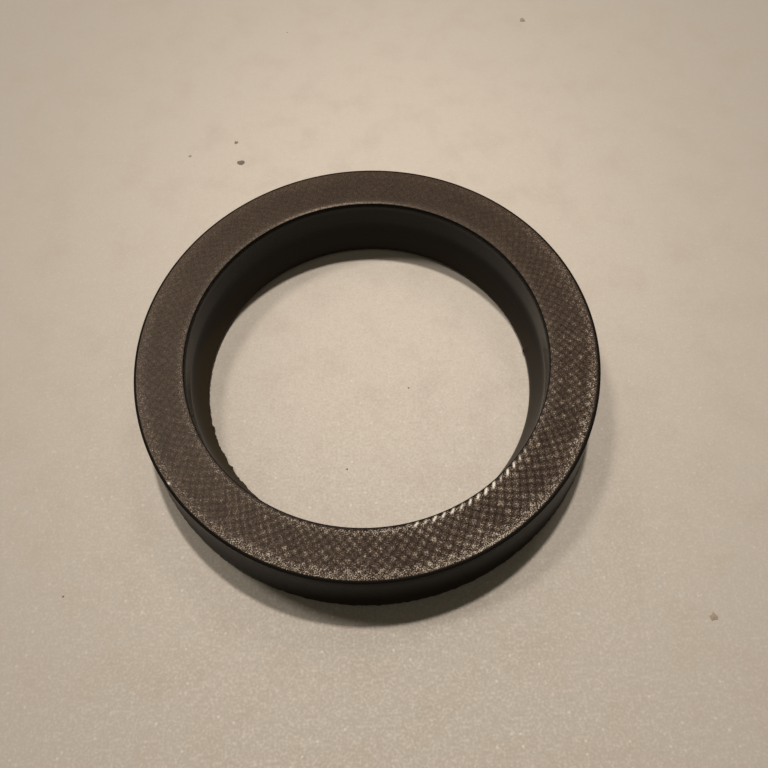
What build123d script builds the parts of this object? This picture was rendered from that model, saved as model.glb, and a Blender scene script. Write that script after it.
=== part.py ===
from build123d import *
import os

# U cup seal for a 55 mm rod in a 70 mm gland bore, moulded in one piece of rubber.
# It lies on the tips of its two lips, heel up: the axis is Z, and Z = 0 is the plane
# that the tips rest on. Every length is in millimetres.

# --- the bores that the seal works in ---
rod_diameter = 55.0
gland_diameter = 70.0
heel_clearance = 0.1            # gap, on the radius, between the heel and each bore

# --- heel, the solid half of the ring ---
seal_height = 11.0
heel_inner_radius = rod_diameter / 2 + heel_clearance
heel_outer_radius = gland_diameter / 2 - heel_clearance
face_bevel_width = 1.2          # shallow fall of the heel face towards each edge
face_bevel_drop = 0.1
corner_chamfer = 0.15           # broken corners between the face and the heel walls
outer_wall_length = 1.9         # straight heel wall, measured down from the face
inner_wall_length = 5.6
wall_blend_radius = 5.0         # soft turn from a straight wall into the flare of its lip

# --- lips, which flare past the heel so that the bores squeeze them ---
outer_lip_reach = 0.97          # how far each sealing edge stands past the heel wall
inner_lip_reach = 1.65
edge_height = 0.54              # height of the sharp sealing edges above the tips
lip_thickness = 2.05
bevel_width = 0.95              # back bevel from the sealing edge down to the tip
tip_chamfer = 0.2

# --- groove, the U between the lips ---
groove_depth = 5.4
groove_root_radius = 1.45

outer_edge_radius = heel_outer_radius + outer_lip_reach
inner_edge_radius = heel_inner_radius - inner_lip_reach
face_outer_radius = heel_outer_radius - face_bevel_width
face_inner_radius = heel_inner_radius + face_bevel_width
bevel_height = seal_height - face_bevel_drop
mouth_outer_radius = outer_edge_radius - lip_thickness
mouth_inner_radius = inner_edge_radius + lip_thickness
groove_middle_radius = (heel_inner_radius + heel_outer_radius) / 2

# Corners of the section, as (radius, height), before any of them is blended or chamfered.
face_corners = [(face_inner_radius, seal_height), (face_outer_radius, seal_height)]
heel_corners = [(heel_inner_radius, bevel_height), (heel_outer_radius, bevel_height)]
outer_wall_foot = (heel_outer_radius, seal_height - outer_wall_length)
inner_wall_foot = (heel_inner_radius, seal_height - inner_wall_length)
sealing_edges = [(inner_edge_radius, edge_height), (outer_edge_radius, edge_height)]
outer_tip = (outer_edge_radius - bevel_width, 0)
inner_tip = (inner_edge_radius + bevel_width, 0)
mouth_corners = [(mouth_inner_radius, 0), (mouth_outer_radius, 0)]


def corners(profile, points):
    """The corners of a section that stand at the given points."""
    return [profile.vertices().sort_by_distance((r, z, 0))[0] for r, z in points]


def groove():
    """The U between the lips: the hull of its round root and its open mouth."""
    with BuildSketch() as hollow:
        with BuildLine():
            CenterArc(
                (groove_middle_radius, groove_depth - groove_root_radius),
                groove_root_radius,
                0,
                360,
            )
            Line(mouth_corners[0], mouth_corners[1])
        make_hull()
    return hollow.sketch


def section():
    """Half section of the ring, in the plane of the axis."""
    with BuildSketch(Plane.XZ) as profile:
        with BuildLine():
            Polyline(
                face_corners[0],
                face_corners[1],
                heel_corners[1],
                outer_wall_foot,
                sealing_edges[1],
                outer_tip,
                inner_tip,
                sealing_edges[0],
                inner_wall_foot,
                heel_corners[0],
                close=True,
            )
        make_face()
        add(groove(), mode=Mode.SUBTRACT)
        fillet(corners(profile, [outer_wall_foot, inner_wall_foot]), wall_blend_radius)
        chamfer(corners(profile, heel_corners), corner_chamfer)
        chamfer(corners(profile, mouth_corners), tip_chamfer)
    return profile.sketch


def make_seal():
    with BuildPart() as u_cup_seal:
        add(section())
        revolve(axis=Axis.Z)
    return u_cup_seal


os.makedirs("parts", exist_ok=True)
u_cup_seal = make_seal()
u_cup_seal.part.label = "u_cup_seal"
export_step(u_cup_seal.part, "parts/u_cup_seal.step")
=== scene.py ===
"""U cup seal: a one-piece rubber ring, heel up, on pale paper under three lamps and a window."""
import math

import bpy
import numpy as np
from mathutils import Matrix, Vector


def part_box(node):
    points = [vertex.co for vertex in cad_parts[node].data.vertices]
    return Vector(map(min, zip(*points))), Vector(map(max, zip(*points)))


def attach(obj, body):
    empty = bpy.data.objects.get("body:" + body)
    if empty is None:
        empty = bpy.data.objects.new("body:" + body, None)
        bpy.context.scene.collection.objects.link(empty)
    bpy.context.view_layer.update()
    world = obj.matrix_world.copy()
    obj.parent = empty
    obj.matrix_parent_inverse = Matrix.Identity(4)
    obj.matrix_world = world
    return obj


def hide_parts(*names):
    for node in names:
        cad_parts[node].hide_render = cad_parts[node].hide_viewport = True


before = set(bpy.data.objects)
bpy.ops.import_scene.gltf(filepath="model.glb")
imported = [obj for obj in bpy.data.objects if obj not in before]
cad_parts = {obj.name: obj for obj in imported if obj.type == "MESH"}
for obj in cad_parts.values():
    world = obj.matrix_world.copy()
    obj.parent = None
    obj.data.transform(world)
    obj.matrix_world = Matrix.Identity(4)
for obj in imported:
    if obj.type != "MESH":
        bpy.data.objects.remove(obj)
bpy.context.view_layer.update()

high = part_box("u_cup_seal")[1]
MM = 0.001

# ---- section, in metres: the same sizes as in the CAD source ----
HEIGHT = high[2]
LIP_OUTER = high[0]
HEEL_OUTER = 34.9 * MM
HEEL_INNER = 27.6 * MM
LIP_INNER = HEEL_INNER - 1.65 * MM
FACE_BEVEL_WIDTH = 1.2 * MM
FACE_BEVEL_DROP = 0.10 * MM
OUTER_WALL = 1.9 * MM           # straight heel walls, measured down from the face
INNER_WALL = 5.6 * MM
WALL_BLEND = 5.0 * MM
EDGE_HEIGHT = 0.54 * MM         # sealing edges, above the tips
BEVEL_WIDTH = 0.95 * MM
LIP_THICKNESS = 2.05 * MM
TIP_CORNER = 0.2 * MM
GROOVE_DEPTH = 5.4 * MM
GROOVE_ROOT = 1.45 * MM
HEEL_MIDDLE = (HEEL_INNER + HEEL_OUTER) / 2

# ---- fine edges, which are not in the CAD source ----
FACE_BLEND = 4.0 * MM           # radius between the flat of the face and its bevels
OUTER_CORNER = 0.34 * MM        # radius between the face and each wall
INNER_CORNER = 0.15 * MM
EDGE_RADIUS = 0.08 * MM         # radius of the sealing edges
TRIM_LIP = 0.15 * MM            # the cloth facing's cut edge stands in from the bore
CUT_BAND = 0.25 * MM            # height of that matt cut edge
TRIM_STEP = 2 * TRIM_LIP        # height over which the wall steps back to the bore
UNDER_INNER_CORNER = 1.2 * INNER_CORNER
UNDER_OUTER_CORNER = 1.8 * OUTER_CORNER

# ---- mesh density ----
FACE_STEPS = 1096               # round the ring, on the face
WALL_STEPS = FACE_STEPS // 2    # round the ring, elsewhere
CORNER_STEPS = 4                # steps of each arc of the section
BLEND_STEPS = 3
BEND_STEPS = 4
EDGE_STEPS = 3
GROOVE_STEPS = 12
FLAT_ROWS = 29                  # rows of each straight run
BEVEL_ROWS = 6
INNER_HEEL_ROWS = 3
INNER_FLARE_ROWS = 5
OUTER_FLARE_ROWS = 6

# ---- weave of the heel face ----
THREADS = 137                   # threads of each family that cross the face round the ring
THREAD_PITCH = 1.016 * MM
CREEP = 0.10                    # wander of the threads, in threads
BOW = 0.55                      # how much a thread bows over and under, against its roundness
U_HEIGHT, U_CROWN = 0.9, 0.7    # one family's height and crowns, against 1 for the other's
CROWN_SHARPNESS = 5
RIDGE_SHARPNESS = 20
HEIGHT_SPREAD = (0.5, 1.0)      # least and most of what differs at random from thread to thread
CROWN_SPREAD = (0.6, 1.4)
RIDGE_SPREAD = (0.35, 1.45)
RELIEF = 0.08 * MM
RELIEF_LEAST = 0.3              # share of the relief that is left where the weave is weakest
RELIEF_CHANGE = 0.35            # slow random change of the relief
RELIEF_FADE = 0.45 * MM         # the relief fades out over this width inside each corner
WEAVE_STRONGEST = math.radians(-60)
WEAVE_LEAST = 0.12              # strength of the weave at the back, against 1 at its strongest
WEAVE_FOCUS = 2.1
PULL = 0.95                     # threads by which the weave is pulled at the right of the front
PULL_PLACE = math.radians(-52)
PULL_WIDTH = 0.5
SCATTER_STEPS = (12.9898, 78.233)       # any uneven steps make a random number here
SCATTER_SIZE = 43758.5453
SWELL_WAVES = (3, 5, 8, 13, 21, 34)
SWELL_TILT = 900                # most turn of a slow wave over a metre of radius
SWELL_SIZE = 1.6

# ---- stretches round the ring: place and reach, in degrees ----
LEFT = (-170, 60)
FRONT = (-68, 38)
GREY_STRETCH = (-165, 52)
OUTER_HIGHLIGHT_STRETCH = (-66, 26)
BACK_HIGHLIGHT_STRETCH = (98, 24)
STROKE_STRETCH = (-61, 19)
SPARKLE_STRETCH = (-82, 32)
INNER_CUT_SHADE_STRETCH = (-100, 65)
OUTER_CUT_SHADE_STRETCH = (-25, 50)
SCUFF_STRETCH = (-165, 50)
FLASH_STRETCH = (-152, 14)
RAGGED_STRETCH = (-160, 30)
DUST_SPECK_STRETCH = (-145, 0.2865)

# ---- bands of the face: distance from the bore or from the rim, and half width, in mm ----
OUTER_BAND = (0.8, 0.9)
OUTER_HIGHLIGHT = (0.66, 0.14)
OUTER_CUT_SHADE = (0.44, 0.2)
DUST_SPECK = (0.55, 0.2)
INNER_BAND = (0.25, 0.5)
BACK_HIGHLIGHT = (0.15, 0.25)
SPARKLE = (0.45, 0.5)
STROKES = (0.37, 0.27)
INNER_CUT_SHADE = (0.03, 0.2)

# ---- lightness of the face, from 0 for the gaps of the cloth to 1 for its crowns, with painted highlights and painted shade in it ----
FACE_TONE = 0.215
LEFT_LIFT = 0.08
CLOUDS = 0.10                   # slow random change
# Crowns and high threads are lighter, partly the cloth's own colour and partly painted highlight;
# gaps are darker, partly the rubber between the threads and partly painted shade.
CROWN_LIFT, CROWN_MIDDLE = 0.6, 0.36
HEIGHT_LIFT, HEIGHT_MIDDLE = 1.45, 0.45
GAP_DROP, GAP_HEIGHT = 1.6, 0.35
OUTER_FLATNESS = 0.45           # share of the weave's contrast that the outer band lacks
# Painted sheen: the inner bevel's band is lifted; the outer band is lifted partly for its worn
# cloth and partly as painted sheen, most in front.
INNER_BAND_LIFT = 0.35
# Painted sparkle along the inner edge in front.
SPARKLE_LIFT = 0.5
BACK_HIGHLIGHT_LIFT = 2.0
OUTER_BAND_LIFT, OUTER_WEAVE_LIFT = 0.26, 0.50
STROKE_GAIN, STROKE_LIFT = 2.9, 0.4
OUTER_HIGHLIGHT_LIFT = 0.9
OUTER_HIGHLIGHT_MIDDLE, OUTER_HIGHLIGHT_CHANGE = 0.6, 0.8
# Painted shade along the cut edges.
INNER_CUT_SHADE_DEPTH, CUT_SHADE_DARKNESS = 1.4, 0.9

# ---- flecks, polish and dust of the face, with painted glints and painted highlights among them ----
RIM_MIDDLE, RIM_CHANGE = 0.8, 0.4
INNER_CALM, STROKE_CALM = 0.6, 0.6              # how far flecks are held back there
FRONT_STIR, LEFT_STIR = 0.5, 0.6                # how far they come back in front and at the left
FLECK_LEAST, FLECK_WEAVE, FLECK_RIM = 0.25, 0.52, 0.62
FLECK_INNER, FLECK_INNER_LEFT, FLECK_SPARKLE = 0.22, 0.15, 0.4
FLECK_MOST = 1.35
POLISH_WEAVE, POLISH_LOW, POLISH_RISE = 0.3, 0.3, 0.9
DUST_SPECK_DEPTH = 1.2
STROKE_PALE, STROKE_PALE_FROM = 1.5, 0.5        # the brightest strokes are painted paler than the cloth, as painted highlight
LEFT_GREYING = 0.018                               # paler, greyer colour on the left of the face

# ---- wear of the lips and the bore, as the photo shows it ----
# Rags on the inner lip's edge: place in degrees round the ring, size in mm, width in degrees.
LIP_RAGS = [
    (8, 0.16, 0.8),
    (-163.7, 0.14, 0.9),
    (-151.7, 0.16, 0.9),
    (-147, 0.12, 0.8),
    (-139.5, 0.16, 1.0),
]
FLASH = 0.10 * MM
RAG_REACH = 0.6 * MM            # how far up and down the wear of each lip's edge reaches
RAGGED_REACH = 0.8 * MM
EDGE_REACH = 0.5 * MM           # and how far across
RAGGED_WAVES = range(30, 250, 9)
RAGGED_SIZE = 0.013 * MM        # most height of each small wave of the outer lip's edge
RAGGED_SPREAD = (0.3, 1)
RAGGED_SEED = 17
INNER_RAGGED = 2                # the inner lip's small waves against the outer lip's
SCUFF_TOP = 5.8 * MM            # the bore is scuffed from here down
SCUFF_FADE = 3.5 * MM
SCUFF_EDGE = HEEL_INNER + 1 * MM
SCUFF_LEAST = 0.35

# ---- colours and gloss ----
RUBBER_COLOR = (0.0065, 0.0042, 0.0028)
SCUFFED_COLOR = (0.042, 0.030, 0.015)
CUT_EDGE_COLOR = (0.0085, 0.0070, 0.0055)
DUST_AND_HIGHLIGHT_COLOR = (0.80, 0.75, 0.68)
# The gaps' near-black is partly the rubber between the threads and partly painted shade.
GAP_COLOR = (0.0068, 0.0022, 0.0008)
CROWN_COLOR = (0.206, 0.142, 0.101)
WEAR_AND_GLINT_COLOR = (0.60, 0.54, 0.47)
WEAR_AND_GLINT_FROM, WEAR_AND_GLINT_TO = 0.45, 1.9  # lightness where the pale flecks begin and where they are palest: worn fibres and painted glints
FIBRE_SCALE = 6500
FIBRE_RELIEF = 0.08 * MM
FLECK_CONTRAST = 3000.0         # the lightest fibres against the darkest
CLOTH_ROUGHNESS = (0.55, 0.18)  # at no polish and at full polish
CLOTH_SPECULAR = 0.08
INNER_ROUGHNESS = (0.18, 0.70)  # where it is smooth and where it is scuffed
INNER_SPECULAR = 0.11
OUTER_ROUGHNESS = 0.36
OUTER_SPECULAR = 0.05
CUT_EDGE_ROUGHNESS = 0.6

# ---- camera: a close view from above the front of the ring ----
CAMERA_ELEVATION = 1.11240
CAMERA_ROLL = -0.053546
CAMERA_UNIT = HEEL_OUTER / 1.005
CAMERA_PLACE = (0.06993, -1.56728, 3.11640)     # in units, above the sealing edges
CAMERA_LENS = 34.85
CAMERA_SENSOR = 36
CAMERA_CLIP = 0.005

# ---- light ----
LAMP_COLOR = (1.0, 0.93, 0.83)
LAMP_HEIGHT = 1.5
# Name, run of the rays over a unit of height, light on the ring, width in degrees.
LAMPS = [
    ("lamp_back", (0.024, 0.341), 1.82, 2.9),
    ("lamp_left", (-0.368, 0.365), 0.74, 7.7),
    ("lamp_right", (0.39, 0.671), 0.20, 10),
    ("window_far", (-0.604, 1.157), 0.40, 44),
]
ROOM_COLOR = (1.0, 0.92, 0.70)
ROOM_LIGHT = 0.102

# ---- paper ----
FLOOR_REACH = 1.2
PAPER_COLOR = (0.692, 0.620, 0.551)
PAPER_FALLOFF_COLOR = (0.418, 0.372, 0.332)
PAPER_MIDDLE = (0.004, 0.0245, 0.0)     # where the painted pool of light on the paper is brightest
PAPER_REACH = (0.062, 0.076, 1.0)       # how far that painted light carries, across and along
GRAIN_MIDDLE = (0.0, -0.045, 0.0)       # where the paper's grain shows most
GRAIN_REACH = (0.052, 0.078, 1.0)
GRAIN_SHOWS = (0.13, 1.05)              # how much it shows far off and at its middle
GRAIN_SCALE, SOFT_GRAIN_SCALE, SOFT_GRAIN = 2600, 900, 0.5
LIGHT_GRAIN_COLOR = (0.95, 0.90, 0.83)
DARK_GRAIN_COLOR = (0.30, 0.26, 0.22)
STAIN_COLOR = (0.42, 0.33, 0.28)
STAIN_SCALE = 150
# Cover at the first and at the last value of the noise, and those two values.
LIGHT_GRAIN = (0.0, 0.48, 0.74, 1.25)
DARK_GRAIN = (0.42, 0.0, 0.25, 0.74)
STAIN = (0.0, 0.22, 0.48, 0.75)
# Scale of a random net, size of a speck in a cell, and share of the cells that hold one.
# Glitter: pale specks painted on the paper as its glints.
GLITTER = (620, 0.13, 0.45)
SPECKS = (110, 0.016, 0.35)
GLITTER_COLOR, GLITTER_COVER = (0.95, 0.90, 0.82), 0.3
SPECK_COLOR, SPECK_COVER = (0.10, 0.08, 0.06), 0.8
PAPER_ROUGHNESS = 0.9
# Bits on the paper: place in mm, size in mm, colour.
BITS = [
    (-22.7, 48.4, 0.75, (0.20, 0.165, 0.13)), (-23.9, 53.5, 0.42, (0.24, 0.20, 0.16)),
    (-32.7, 50.6, 0.40, (0.36, 0.31, 0.26)), (36.1, 84.0, 0.75, (0.34, 0.27, 0.21)),
    (46.7, -39.8, 0.60, (0.36, 0.28, 0.22)), (-45.5, -32.2, 0.18, (0.12, 0.10, 0.08)),
    (6.4, -1.7, 0.16, (0.16, 0.13, 0.11)), (-4.0, -15.1, 0.16, (0.14, 0.11, 0.09)),
]
BIT_CORNERS = 9
BIT_REACH = (0.6, 1.2)                  # least and most reach of a corner, against the size
BIT_RISE = 0.25                         # height, against the size


# ================ the section ================

def corner_arc(before, corner, after, radius, steps):
    """Points of the arc that rounds one corner of an outline."""
    before, corner, after = (np.array(p, float) for p in (before, corner, after))
    a = before - corner
    b = after - corner
    a /= np.linalg.norm(a)
    b /= np.linalg.norm(b)
    half = 0.5 * math.acos(float(np.clip(a @ b, -1, 1)))
    middle = (a + b) / np.linalg.norm(a + b)
    centre = corner + middle * (radius / math.sin(half))
    start = corner + a * (radius / math.tan(half))
    end = corner + b * (radius / math.tan(half))
    first = math.atan2(*(start - centre)[::-1])
    turn = math.atan2(*(end - centre)[::-1]) - first
    turn = (turn + math.pi) % (2 * math.pi) - math.pi
    angles = [first + turn * i / steps for i in range(steps + 1)]
    return [centre + radius * np.array((math.cos(t), math.sin(t))) for t in angles]


def run(start, end, rows):
    """Points along a straight run, without its two ends."""
    start, end = np.array(start, float), np.array(end, float)
    return [start + (end - start) * i / rows for i in range(1, rows)]


def groove_root():
    """The arc of the groove's root, from the outer wall's tangent to the inner wall's."""
    root_z = GROOVE_DEPTH - GROOVE_ROOT

    def lean(mouth_r):
        """Angle of the tangent's touching point, from the radial direction."""
        across = abs(mouth_r - HEEL_MIDDLE)
        reach = math.hypot(across, root_z)
        return math.acos(GROOVE_ROOT / reach) - math.atan2(root_z, across)

    start = lean(LIP_OUTER - LIP_THICKNESS)
    end = math.pi - lean(LIP_INNER + LIP_THICKNESS)
    angles = [start + (end - start) * i / GROOVE_STEPS for i in range(GROOVE_STEPS + 1)]
    return [
        np.array((HEEL_MIDDLE + GROOVE_ROOT * math.cos(t), root_z + GROOVE_ROOT * math.sin(t)))
        for t in angles
    ]


def face_rows():
    """The heel face from its outer corner to its inner one, corners and bevels included."""
    bevel_z = HEIGHT - FACE_BEVEL_DROP
    trim = HEEL_INNER - TRIM_LIP
    outer_wall = (HEEL_OUTER, HEIGHT - OUTER_WALL)
    outer_corner = (HEEL_OUTER, bevel_z)
    outer_flat = (HEEL_OUTER - FACE_BEVEL_WIDTH, HEIGHT)
    inner_flat = (HEEL_INNER + FACE_BEVEL_WIDTH, HEIGHT)
    inner_corner = (trim, bevel_z)
    inner_wall = (trim, HEIGHT - INNER_WALL)

    rows = corner_arc(outer_wall, outer_corner, outer_flat, OUTER_CORNER, CORNER_STEPS)
    blend = corner_arc(outer_corner, outer_flat, inner_flat, FACE_BLEND, BLEND_STEPS)
    rows += run(rows[-1], blend[0], BEVEL_ROWS) + blend
    blend = corner_arc(outer_flat, inner_flat, inner_corner, FACE_BLEND, BLEND_STEPS)
    rows += run(rows[-1], blend[0], FLAT_ROWS) + blend
    corner = corner_arc(inner_flat, inner_corner, inner_wall, INNER_CORNER, CORNER_STEPS)
    return rows + run(rows[-1], corner[0], BEVEL_ROWS) + corner


def wall_rows():
    """The rest of the section, from under the inner corner round to under the outer one."""
    bevel_z = HEIGHT - FACE_BEVEL_DROP
    inner_corner = (HEEL_INNER, bevel_z)
    outer_corner = (HEEL_OUTER, bevel_z)
    inner_wall = (HEEL_INNER, HEIGHT - INNER_WALL)
    outer_wall = (HEEL_OUTER, HEIGHT - OUTER_WALL)
    inner_edge = (LIP_INNER, EDGE_HEIGHT)
    outer_edge = (LIP_OUTER, EDGE_HEIGHT)
    inner_tip = (LIP_INNER + BEVEL_WIDTH, 0)
    outer_tip = (LIP_OUTER - BEVEL_WIDTH, 0)
    inner_mouth = (LIP_INNER + LIP_THICKNESS, 0)
    outer_mouth = (LIP_OUTER - LIP_THICKNESS, 0)
    root = groove_root()

    # The cut edge of the cloth, and the step from it out to the bore.
    trim = HEEL_INNER - TRIM_LIP
    rows = [np.array((trim, bevel_z - down)) for down in (UNDER_INNER_CORNER, CUT_BAND)]
    rows += [np.array((HEEL_INNER, bevel_z - CUT_BAND - TRIM_STEP))]
    # The bore and the inner lip.
    bend = corner_arc(inner_corner, inner_wall, inner_edge, WALL_BLEND, BEND_STEPS)
    rows += run(rows[-1], bend[0], INNER_HEEL_ROWS) + bend
    edge = corner_arc(inner_wall, inner_edge, inner_tip, EDGE_RADIUS, EDGE_STEPS)
    rows += run(rows[-1], edge[0], INNER_FLARE_ROWS) + edge
    rows += [np.array(inner_tip, float)]
    # The groove, from the inner mouth to the outer one.
    rows += corner_arc(inner_tip, inner_mouth, root[-1], TIP_CORNER, EDGE_STEPS)
    rows += root[::-1]
    rows += corner_arc(root[0], outer_mouth, outer_tip, TIP_CORNER, EDGE_STEPS)
    # The outer lip and the outer wall.
    rows += [np.array(outer_tip, float)]
    rows += corner_arc(outer_tip, outer_edge, outer_wall, EDGE_RADIUS, EDGE_STEPS)
    bend = corner_arc(outer_edge, outer_wall, outer_corner, WALL_BLEND, BEND_STEPS)
    rows += run(rows[-1], bend[0], OUTER_FLARE_ROWS) + bend
    return rows + [np.array((HEEL_OUTER, bevel_z - UNDER_OUTER_CORNER))]


# ================ weave and wear, as values over the surface ================

def bump_at(value, centre, width):
    return np.exp(-((value - centre) / width) ** 2)


def turn_from(theta, place):
    """Angle from a place round the ring, from minus half a turn to half a turn."""
    return (theta - place + math.pi) % (2 * math.pi) - math.pi


def stretch(theta, span):
    """1 at one place round the ring, falling softly to 0 past the reach on either side."""
    place, reach = span
    return bump_at(turn_from(theta, math.radians(place)), 0, math.radians(reach))


def from_bore(r, band):
    return bump_at(r, HEEL_INNER + band[0] * MM, band[1] * MM)


def from_rim(r, band):
    return bump_at(r, HEEL_OUTER - band[0] * MM, band[1] * MM)


def scatter(i, j, seed, spread):
    """A repeatable random number, from the least to the most, for each crossing of two threads."""
    step_i, step_j = SCATTER_STEPS
    value = np.sin((i % THREADS) * step_i + (j % THREADS) * step_j + seed) * SCATTER_SIZE
    least, most = spread
    return least + (most - least) * (value - np.floor(value))


def swell(theta, radius, seed):
    """A slow random change over the face, from -1 to 1."""
    rng = np.random.default_rng(seed)
    total = np.zeros(np.broadcast(theta, radius).shape)
    for waves in SWELL_WAVES:
        phase, tilt = rng.uniform(0, 2 * math.pi), rng.uniform(-1, 1)
        across = tilt * SWELL_TILT * (radius - HEEL_INNER)
        total += np.sin(waves * theta + phase + across) / math.sqrt(waves)
    return np.clip(total / SWELL_SIZE, -1, 1)


def drift(theta):
    """Threads by which the weave lags: it is pulled wider at the right of the front."""
    away = turn_from(theta, PULL_PLACE)
    return PULL * (np.tanh(away / PULL_WIDTH) - away / math.pi)


def thread_round(place):
    """Roundness of a thread across its width, from 0 at its sides to 1 along its middle."""
    return np.sqrt(np.clip(1 - (2 * (place - np.floor(place)) - 1) ** 2, 0, 1))


def weave(theta, radius):
    """A plain weave whose threads cross the ring on the bias.

    Returns, each from 0 to about 1, the height, the crowns where a thread passes over, and the
    ridges along one family of threads.
    """
    along = THREADS * theta / (2 * math.pi) - drift(theta)
    across = (radius - HEEL_MIDDLE) / (THREAD_PITCH * math.sqrt(2))
    u = along + across + CREEP * swell(theta, radius, 1)
    v = along - across + CREEP * swell(theta, radius, 2)
    i, j = np.floor(u), np.floor(v)
    over_u = np.where(i % 2 == 0, 1.0, -1.0) * np.cos(np.pi * (v - 0.5))
    over_v = -np.where(j % 2 == 0, 1.0, -1.0) * np.cos(np.pi * (u - 0.5))
    round_u = thread_round(u)
    round_v = thread_round(v)
    top_u = BOW * over_u + (1 - BOW) * round_u
    top_v = BOW * over_v + (1 - BOW) * round_v
    height = np.clip(np.maximum(U_HEIGHT * top_u, top_v), 0, 1)
    height = height * scatter(i, j, 0, HEIGHT_SPREAD)
    dash_u = np.sqrt(np.clip(over_u, 0, 1)) * round_u ** CROWN_SHARPNESS
    dash_v = np.sqrt(np.clip(over_v, 0, 1)) * round_v ** CROWN_SHARPNESS
    crown = np.maximum(U_CROWN * dash_u, dash_v) * scatter(i, j, 5, CROWN_SPREAD)
    ridge = round_u ** RIDGE_SHARPNESS * scatter(i, i, 6, RIDGE_SPREAD)
    return height, crown, ridge


def weave_strength(theta):
    """How plain the weave stands: 1 in front and to the right, little at the back; in the face's
    colour it also sets how strong the weave's painted highlights and painted shade are.
    """
    facing = (1 + np.cos(theta - WEAVE_STRONGEST)) / 2
    return WEAVE_LEAST + (1 - WEAVE_LEAST) * facing ** WEAVE_FOCUS


def ragged(theta):
    """The outer lip's edge wanders a little: a small rough wave round the ring."""
    rng = np.random.default_rng(RAGGED_SEED)
    total = np.zeros(theta.shape)
    for waves in RAGGED_WAVES:
        wave = np.sin(waves * theta + rng.uniform(0, 2 * math.pi))
        total += wave * rng.uniform(*RAGGED_SPREAD)
    return RAGGED_SIZE * total


def rags(theta):
    """Rags of flash that stand in from the inner lip's edge, and the torn one on its right."""
    total = FLASH * stretch(theta, FLASH_STRETCH) * (1 + swell(theta, HEEL_INNER, 4))
    total = total + INNER_RAGGED * ragged(theta + 1) * stretch(theta, RAGGED_STRETCH)
    for place, size, width in LIP_RAGS:
        total = total + size * MM * stretch(theta, (place, width))
    return total


def scuffing(r, theta, z):
    """How scuffed the rubber is: low in the bore and on the inner lip, most at the left."""
    low_down = np.clip((SCUFF_TOP - z) / SCUFF_FADE, 0, 1) * (r < SCUFF_EDGE)
    return low_down * (SCUFF_LEAST + (1 - SCUFF_LEAST) * stretch(theta, SCUFF_STRETCH))


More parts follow.
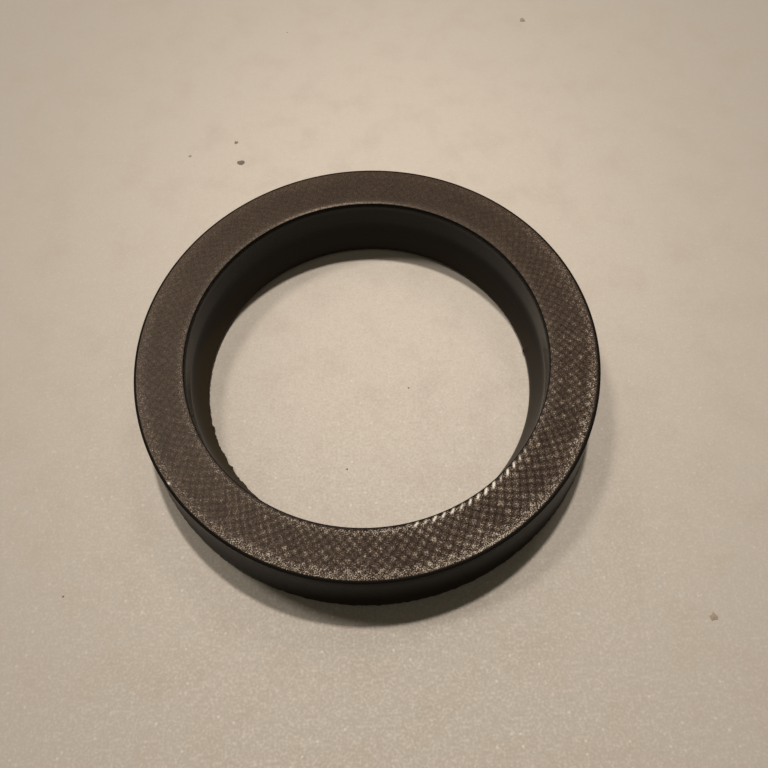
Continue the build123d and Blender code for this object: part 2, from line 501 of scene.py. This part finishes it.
def face_looks(r, theta, height, crown, ridge):
    """What the face's material reads at each point: lightness, polish, flecks, and a pale blend
    for dusty specks and painted highlights; the lightness holds painted highlights and painted
    shade too.
    """
    left = stretch(theta, LEFT)
    front = stretch(theta, FRONT)
    strength = weave_strength(theta) + LEFT_LIFT * left
    outer_band = from_rim(r, OUTER_BAND)
    inner_band = from_bore(r, INNER_BAND)
    # A painted highlight: a broken pale line just inside the outer corner, in front.
    outer_highlight = from_rim(r, OUTER_HIGHLIGHT) * stretch(theta, OUTER_HIGHLIGHT_STRETCH)
    broken = np.clip(OUTER_HIGHLIGHT_MIDDLE + OUTER_HIGHLIGHT_CHANGE * swell(theta, r, 9), 0, 1)
    outer_highlight = outer_highlight * broken
    # A painted highlight: a pale line along the inner edge at the back.
    back_highlight = from_bore(r, BACK_HIGHLIGHT) * stretch(theta, BACK_HIGHLIGHT_STRETCH)
    # Painted sparkle along the inner edge in front: it lifts the colour and the flecks there.
    sparkle = from_bore(r, SPARKLE) * stretch(theta, SPARKLE_STRETCH)
    strokes = stretch(theta, STROKE_STRETCH) * ridge
    # Painted highlight: bright strokes along the inner bevel in front; the brightest are blended
    # toward the pale colour too.
    shine = np.clip(from_bore(r, STROKES) * strokes * STROKE_GAIN, 0, 1)
    # Painted shade: the colour darkens along the inner cut edge in front and under the outer
    # corner at the right.
    cut = INNER_CUT_SHADE_DEPTH * from_bore(r, INNER_CUT_SHADE) * stretch(theta, INNER_CUT_SHADE_STRETCH)
    cut = cut + from_rim(r, OUTER_CUT_SHADE) * stretch(theta, OUTER_CUT_SHADE_STRETCH)
    still = inner_band * (1 - FRONT_STIR * front - LEFT_STIR * left)
    calm = 1 - INNER_CALM * still - STROKE_CALM * shine
    uneven = RIM_MIDDLE + RIM_CHANGE * swell(theta, r, 8)
    rim = np.clip((outer_band + inner_band) * uneven, 0, 1)

    # Painted shade in the gaps and painted highlight on the crowns, on top of the cloth's own
    # colours.
    gap = np.clip(1 - height / GAP_HEIGHT, 0, 1)
    relief = CROWN_LIFT * (crown - CROWN_MIDDLE) + HEIGHT_LIFT * (height - HEIGHT_MIDDLE)
    relief = relief * (1 - OUTER_FLATNESS * outer_band) - GAP_DROP * gap
    tone = FACE_TONE * (1 + LEFT_LIFT * left)
    # The weave's painted highlight and shade are strongest in front and at the right, where the
    # lamps glint on the cloth.
    tone = tone * np.exp(strength * relief + CLOUDS * swell(theta, r, 11))
    # Painted sheen on the inner and outer bands, painted sparkle and the painted highlight line at
    # the back lift the colour.
    lift = 1 + INNER_BAND_LIFT * inner_band + SPARKLE_LIFT * sparkle + BACK_HIGHLIGHT_LIFT * back_highlight
    lift = lift + outer_band * (OUTER_BAND_LIFT + OUTER_WEAVE_LIFT * strength)
    # The strokes and the outer line are added to the colour as painted highlight.
    tone = tone * lift + STROKE_LIFT * shine + OUTER_HIGHLIGHT_LIFT * outer_highlight
    tone = tone * (1 - CUT_SHADE_DARKNESS * np.clip(cut, 0, 1))

    fleck = (FLECK_LEAST + (FLECK_WEAVE + FLECK_RIM * rim) * strength) * calm
    fleck = fleck + (FLECK_INNER + FLECK_INNER_LEFT * left) * inner_band
    fleck = fleck + FLECK_SPARKLE * sparkle
    polish = (POLISH_WEAVE * strength + rim * calm) * (POLISH_LOW + POLISH_RISE * height) + shine
    # A real dust speck, the strokes' painted highlight and a greyer colour on the left share one
    # pale blend.
    dust_and_highlight = DUST_SPECK_DEPTH * stretch(theta, DUST_SPECK_STRETCH) * from_rim(r, DUST_SPECK)
    dust_and_highlight = dust_and_highlight + np.clip(STROKE_PALE * shine - STROKE_PALE_FROM, 0, 1)
    dust_and_highlight = dust_and_highlight + LEFT_GREYING * stretch(theta, GREY_STRETCH)
    return {
        "tone": np.clip(tone, 0, 1),
        "polish": np.clip(polish, 0, 1),
        "fleck": np.clip(fleck, 0, FLECK_MOST),
        "dust_and_highlight": np.clip(dust_and_highlight, 0, 1),
    }


# ================ the ring ================

def grid(rows, steps):
    """Radius, place round the ring and height of a grid that turns the section round."""
    rows = np.array(rows)
    theta = np.arange(steps) * 2 * math.pi / steps
    r = np.repeat(rows[:, :1], steps, axis=1)
    z = np.repeat(rows[:, 1:], steps, axis=1)
    return r, np.repeat(theta[None, :], len(rows), axis=0), z


def points(r, theta, z):
    return np.stack([r * np.cos(theta), r * np.sin(theta), z], -1).reshape(-1, 3)


def grid_quads(base, shape):
    """Quads of a grid that closes round the ring and whose first point has the number base."""
    rows, steps = shape
    column = np.arange(steps)
    quads = []
    for row in range(rows - 1):
        a = base + row * steps + column
        b = base + row * steps + (column + 1) % steps
        quads.append(np.stack([a, b, b + steps, a + steps], -1))
    return np.concatenate(quads).tolist()


def seam_tris(face_last, wall_first, wall_last):
    """Triangles that join the fine grid's two ends to the coarse grid's."""
    tris = []
    for i in range(WALL_STEPS):
        nxt = (i + 1) % WALL_STEPS
        f0, f1, f2 = 2 * i, 2 * i + 1, (2 * i + 2) % FACE_STEPS
        w0, w1 = wall_first + i, wall_first + nxt
        tris += [(face_last + f0, face_last + f1, w0), (face_last + f1, w1, w0)]
        tris += [(face_last + f1, face_last + f2, w1)]
        w0, w1 = wall_last + i, wall_last + nxt
        tris += [(f1, f0, w0), (f1, w0, w1), (f2, f1, w1)]
    return tris


def face_grid():
    """Points of the heel face with the weave's relief in them, and its looks."""
    r, theta, z = grid(face_rows(), FACE_STEPS)
    height, crown, ridge = weave(theta, r)
    inside = np.minimum(r - HEEL_INNER + TRIM_LIP, HEEL_OUTER - r)
    fade = np.clip(inside / RELIEF_FADE, 0, 1)
    depth = RELIEF * fade * (RELIEF_LEAST + (1 - RELIEF_LEAST) * weave_strength(theta))
    depth = depth * (1 + RELIEF_CHANGE * swell(theta, r, 3))
    looks = face_looks(r, theta, height, crown, ridge)
    return points(r, theta, z - depth * (1 - height)), r.shape, looks


def wall_grid():
    """Points of the walls, lips and groove with the wear of the lips, and their scuffing."""
    r, theta, z = grid(wall_rows(), WALL_STEPS)
    scuff = scuffing(r, theta, z)
    at_inner_edge = bump_at(r, LIP_INNER, EDGE_REACH) * bump_at(z, EDGE_HEIGHT, RAG_REACH)
    r = r - rags(theta) * at_inner_edge
    at_outer_edge = bump_at(r, LIP_OUTER, EDGE_REACH) * bump_at(z, EDGE_HEIGHT, RAGGED_REACH)
    r = r + ragged(theta) * at_outer_edge
    return points(r, theta, z), r.shape, scuff


def ring_mesh(name):
    """One closed mesh: a fine grid on the face, a grid half as fine on the walls and lips."""
    face_points, face_shape, looks = face_grid()
    wall_points, wall_shape, scuff = wall_grid()
    base = len(face_points)
    face_quads = grid_quads(0, face_shape)
    wall_quads = grid_quads(base, wall_shape)
    face_last = base - FACE_STEPS
    wall_last = base + len(wall_points) - WALL_STEPS
    faces = face_quads + wall_quads + seam_tris(face_last, base, wall_last)
    mesh = bpy.data.meshes.new(name)
    mesh.from_pydata(np.concatenate([face_points, wall_points]).tolist(), [], faces)
    mesh.update()
    mesh.polygons.foreach_set("use_smooth", [True] * len(mesh.polygons))

    # Materials: 0 cloth face, 1 inner rubber, 2 outer rubber, 3 the cut edges between them.
    walls = len(face_quads)
    corner = CORNER_STEPS * FACE_STEPS
    index = np.full(len(mesh.polygons), 3)
    index[corner + FACE_STEPS:walls - corner] = 0
    index[walls + 2 * WALL_STEPS:walls + len(wall_quads)] = 1
    index[walls + (wall_shape[0] // 2) * WALL_STEPS:walls + len(wall_quads)] = 2
    mesh.polygons.foreach_set("material_index", index)

    for label, values in looks.items():
        add_values(mesh, label, values, np.zeros(len(wall_points)))
    add_values(mesh, "scuff", np.zeros(base), scuff)
    mesh.update()
    return mesh


def add_values(mesh, label, on_face, on_walls):
    layer = mesh.attributes.new(label, "FLOAT", "POINT")
    layer.data.foreach_set("value", np.concatenate([on_face.reshape(-1), on_walls.reshape(-1)]))


# ================ materials ================

def principled(name, color, roughness, specular=0.5):
    material = bpy.data.materials.new(name)
    material.use_nodes = True
    shader = material.node_tree.nodes["Principled BSDF"]
    shader.inputs["Base Color"].default_value = (*color, 1)
    shader.inputs["Roughness"].default_value = roughness
    shader.inputs["Specular IOR Level"].default_value = specular
    return material


class Web:
    """A principled material and short ways to add nodes to it."""

    def __init__(self, name, color, roughness, specular):
        self.material = principled(name, color, roughness, specular)
        self.tree = self.material.node_tree
        self.shader = self.tree.nodes["Principled BSDF"]

    def node(self, kind, **values):
        node = self.tree.nodes.new(kind)
        for label, value in values.items():
            self.put(node.inputs[label.replace("_", " ")], value)
        return node

    def put(self, socket, value):
        if isinstance(value, bpy.types.NodeSocket):
            self.tree.links.new(value, socket)
        elif isinstance(value, tuple):
            socket.default_value = (*value, 1)
        else:
            socket.default_value = value

    def attribute(self, name):
        node = self.node("ShaderNodeAttribute")
        node.attribute_name = name
        return node.outputs["Fac"]

    def maths(self, operation, first, second=0.0):
        node = self.node("ShaderNodeMath")
        node.operation = operation
        self.put(node.inputs[0], first)
        self.put(node.inputs[1], second)
        return node.outputs["Value"]

    def blend(self, factor, first, second):
        node = self.node("ShaderNodeMix")
        node.data_type = "RGBA"
        self.put(node.inputs["Factor"], factor)
        self.put(node.inputs["A"], first)
        self.put(node.inputs["B"], second)
        return node.outputs["Result"]

    def between(self, value, low, high, start=0.0, end=1.0):
        """From low, where the value is at start, to high, where it is at end."""
        span = {"From_Min": start, "From_Max": end, "To_Min": low, "To_Max": high}
        return self.node("ShaderNodeMapRange", Value=value, **span).outputs["Result"]

    def place(self):
        return self.node("ShaderNodeTexCoord").outputs["Object"]

    def vector(self, operation, first, second=(0.0, 0.0, 0.0)):
        node = self.node("ShaderNodeVectorMath")
        node.operation = operation
        self.tree.links.new(first, node.inputs[0])
        node.inputs[1].default_value = second
        return node.outputs["Value"] if operation == "LENGTH" else node.outputs["Vector"]

    def window(self, middle, reach):
        """1 at one place, falling softly to 0 past the reach across and along."""
        away = self.vector("DIVIDE", self.vector("SUBTRACT", self.place(), middle), reach)
        squared = self.maths("POWER", self.vector("LENGTH", away), 2.0)
        return self.maths("EXPONENT", self.maths("MULTIPLY", squared, -1.0))

    def noise(self, scale, detail):
        node = self.node("ShaderNodeTexNoise", Vector=self.place(), Scale=scale, Detail=detail)
        return node.outputs["Fac"]

    def specks(self, scale, radius, share):
        """Small round specks: 1 in them, in that share of the cells of a random net."""
        node = self.node("ShaderNodeTexVoronoi", Vector=self.place(), Scale=scale)
        near = self.maths("LESS_THAN", node.outputs["Distance"], radius)
        return self.maths("MULTIPLY", near, self.maths("LESS_THAN", node.outputs["Color"], share))

    def bump(self, height, strength, distance):
        node = self.node("ShaderNodeBump", Height=height, Strength=strength, Distance=distance)
        self.put(self.shader.inputs["Normal"], node.outputs["Normal"])


def cloth_material():
    """Rubbered cloth: brown-black, lighter and glossier where the threads stand up; the lightness
    is partly painted highlight, and the palest flecks are partly worn fibres, partly painted
    glints.
    """
    web = Web("cloth_face_rubber", CROWN_COLOR, CLOTH_ROUGHNESS[0], CLOTH_SPECULAR)
    fibres = web.noise(FIBRE_SCALE, 1)
    fleck = web.attribute("fleck")
    speck = web.maths("MULTIPLY", web.maths("SUBTRACT", fibres, 0.5), fleck)
    contrast = web.maths("POWER", FLECK_CONTRAST, speck)
    factor = web.maths("MULTIPLY", web.attribute("tone"), contrast)
    color = web.blend(factor, GAP_COLOR, CROWN_COLOR)
    # Past this lightness the colour turns pale: worn fibres, and painted glints where the lamps
    # would glint.
    color = web.blend(web.between(factor, 0.0, 1.0, WEAR_AND_GLINT_FROM, WEAR_AND_GLINT_TO), color, WEAR_AND_GLINT_COLOR)
    color = web.blend(web.attribute("dust_and_highlight"), color, DUST_AND_HIGHLIGHT_COLOR)
    web.put(web.shader.inputs["Base Color"], color)
    roughness = web.between(web.attribute("polish"), *CLOTH_ROUGHNESS)
    web.put(web.shader.inputs["Roughness"], roughness)
    web.bump(fibres, fleck, FIBRE_RELIEF)
    return web.material


def inner_rubber_material():
    """The bore's moulded rubber: black and satin, duller and browner where it is scuffed."""
    web = Web("inner_rubber", RUBBER_COLOR, INNER_ROUGHNESS[0], INNER_SPECULAR)
    scuff = web.attribute("scuff")
    color = web.blend(scuff, RUBBER_COLOR, SCUFFED_COLOR)
    web.put(web.shader.inputs["Base Color"], color)
    web.put(web.shader.inputs["Roughness"], web.between(scuff, *INNER_ROUGHNESS))
    return web.material


def paper_material():
    """Pale paper: lightest at the ring and darker outward, a painted falloff of the light, with
    stains, grain, glitter painted as glints, and specks.
    """
    web = Web("paper", PAPER_COLOR, PAPER_ROUGHNESS, 0.5)
    # Painted light: the paper's colour is lightest near the ring and falls off outward, standing
    # in for the light's falloff.
    color = web.blend(web.window(PAPER_MIDDLE, PAPER_REACH), PAPER_FALLOFF_COLOR, PAPER_COLOR)
    shows = web.between(web.window(GRAIN_MIDDLE, GRAIN_REACH), *GRAIN_SHOWS)
    soft_grain = web.maths("MULTIPLY", web.noise(SOFT_GRAIN_SCALE, 3), SOFT_GRAIN)
    grain = web.maths("ADD", web.noise(GRAIN_SCALE, 2), soft_grain)
    light = web.between(grain, *LIGHT_GRAIN)
    dark = web.between(grain, *DARK_GRAIN)
    stain = web.between(web.noise(STAIN_SCALE, 4), *STAIN)
    glitter = web.maths("MULTIPLY", web.specks(*GLITTER), GLITTER_COVER)
    speck = web.maths("MULTIPLY", web.specks(*SPECKS), SPECK_COVER)
    color = web.blend(stain, color, STAIN_COLOR)
    color = web.blend(web.maths("MULTIPLY", light, shows), color, LIGHT_GRAIN_COLOR)
    color = web.blend(web.maths("MULTIPLY", dark, shows), color, DARK_GRAIN_COLOR)
    # The glitter's painted glints.
    color = web.blend(web.maths("MULTIPLY", glitter, shows), color, GLITTER_COLOR)
    color = web.blend(speck, color, SPECK_COLOR)
    web.put(web.shader.inputs["Base Color"], color)
    return web.material


# ================ the scene ================

def add_object(name, data):
    thing = bpy.data.objects.new(name, data)
    bpy.context.scene.collection.objects.link(thing)
    return thing


def make_seal():
    mesh = ring_mesh("seal_ring")
    outer = principled("outer_rubber", RUBBER_COLOR, OUTER_ROUGHNESS, OUTER_SPECULAR)
    cut = principled("cut_edge_rubber", CUT_EDGE_COLOR, CUT_EDGE_ROUGHNESS, OUTER_SPECULAR)
    for material in (cloth_material(), inner_rubber_material(), outer, cut):
        mesh.materials.append(material)
    piece = add_object("seal_ring", mesh)
    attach(piece, "root")
    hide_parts("u_cup_seal")


def make_floor():
    reach = FLOOR_REACH
    corners = [(-reach, -reach, 0), (reach, -reach, 0), (reach, reach, 0), (-reach, reach, 0)]
    mesh = bpy.data.meshes.new("floor")
    mesh.from_pydata(corners, [], [(0, 1, 2, 3)])
    mesh.materials.append(paper_material())
    add_object("floor", mesh)


def make_bits():
    """A few flat bits of dirt that lie on the paper."""
    for number, (x, y, size, color) in enumerate(BITS):
        rng = np.random.default_rng(number)
        turns = np.arange(BIT_CORNERS) * 2 * math.pi / BIT_CORNERS
        reach = size * MM * rng.uniform(*BIT_REACH, BIT_CORNERS)
        rim = [
            (x * MM + a * math.cos(t), y * MM + a * math.sin(t), 0.0)
            for a, t in zip(reach, turns)
        ]
        top = (x * MM, y * MM, BIT_RISE * size * MM)
        sides = [(i, (i + 1) % BIT_CORNERS, BIT_CORNERS) for i in range(BIT_CORNERS)]
        mesh = bpy.data.meshes.new("bit")
        mesh.from_pydata(rim + [top], [], sides)
        mesh.materials.append(principled(f"dirt_{number}", color, PAPER_ROUGHNESS))
        add_object(f"bit_{number}", mesh)


def make_camera():
    data = bpy.data.cameras.new("camera")
    data.sensor_width = CAMERA_SENSOR
    data.lens = CAMERA_LENS
    data.clip_start = CAMERA_CLIP
    camera = add_object("camera", data)
    x, y, z = (CAMERA_UNIT * c for c in CAMERA_PLACE)
    place = Matrix.Translation((x, y, z + EDGE_HEIGHT))
    tilt = Matrix.Rotation(math.pi / 2 - CAMERA_ELEVATION, 4, "X")
    camera.matrix_world = place @ tilt @ Matrix.Rotation(CAMERA_ROLL, 4, "Z")
    bpy.context.scene.camera = camera


def make_lamp(name, lean, level, width):
    """A round lamp that shines on the ring: lean is the run of its rays over a unit of height."""
    place = Vector((lean[0] * LAMP_HEIGHT, lean[1] * LAMP_HEIGHT, LAMP_HEIGHT))
    data = bpy.data.lights.new(name, "AREA")
    data.shape = "DISK"
    data.size = 2 * place.length * math.tan(math.radians(width) / 2)
    data.energy = level * math.pi * place.length_squared
    data.color = LAMP_COLOR
    bulb = add_object(name, data)
    bulb.location = place
    bulb.rotation_euler = place.to_track_quat("Z", "Y").to_euler()


def make_light():
    for lamp in LAMPS:
        make_lamp(*lamp)
    world = bpy.data.worlds.new("room")
    world.use_nodes = True
    background = world.node_tree.nodes["Background"]
    background.inputs["Color"].default_value = (*ROOM_COLOR, 1)
    background.inputs["Strength"].default_value = ROOM_LIGHT
    bpy.context.scene.world = world


make_seal()
make_floor()
make_bits()
make_camera()
make_light()
bpy.context.scene.view_settings.view_transform = "Standard"
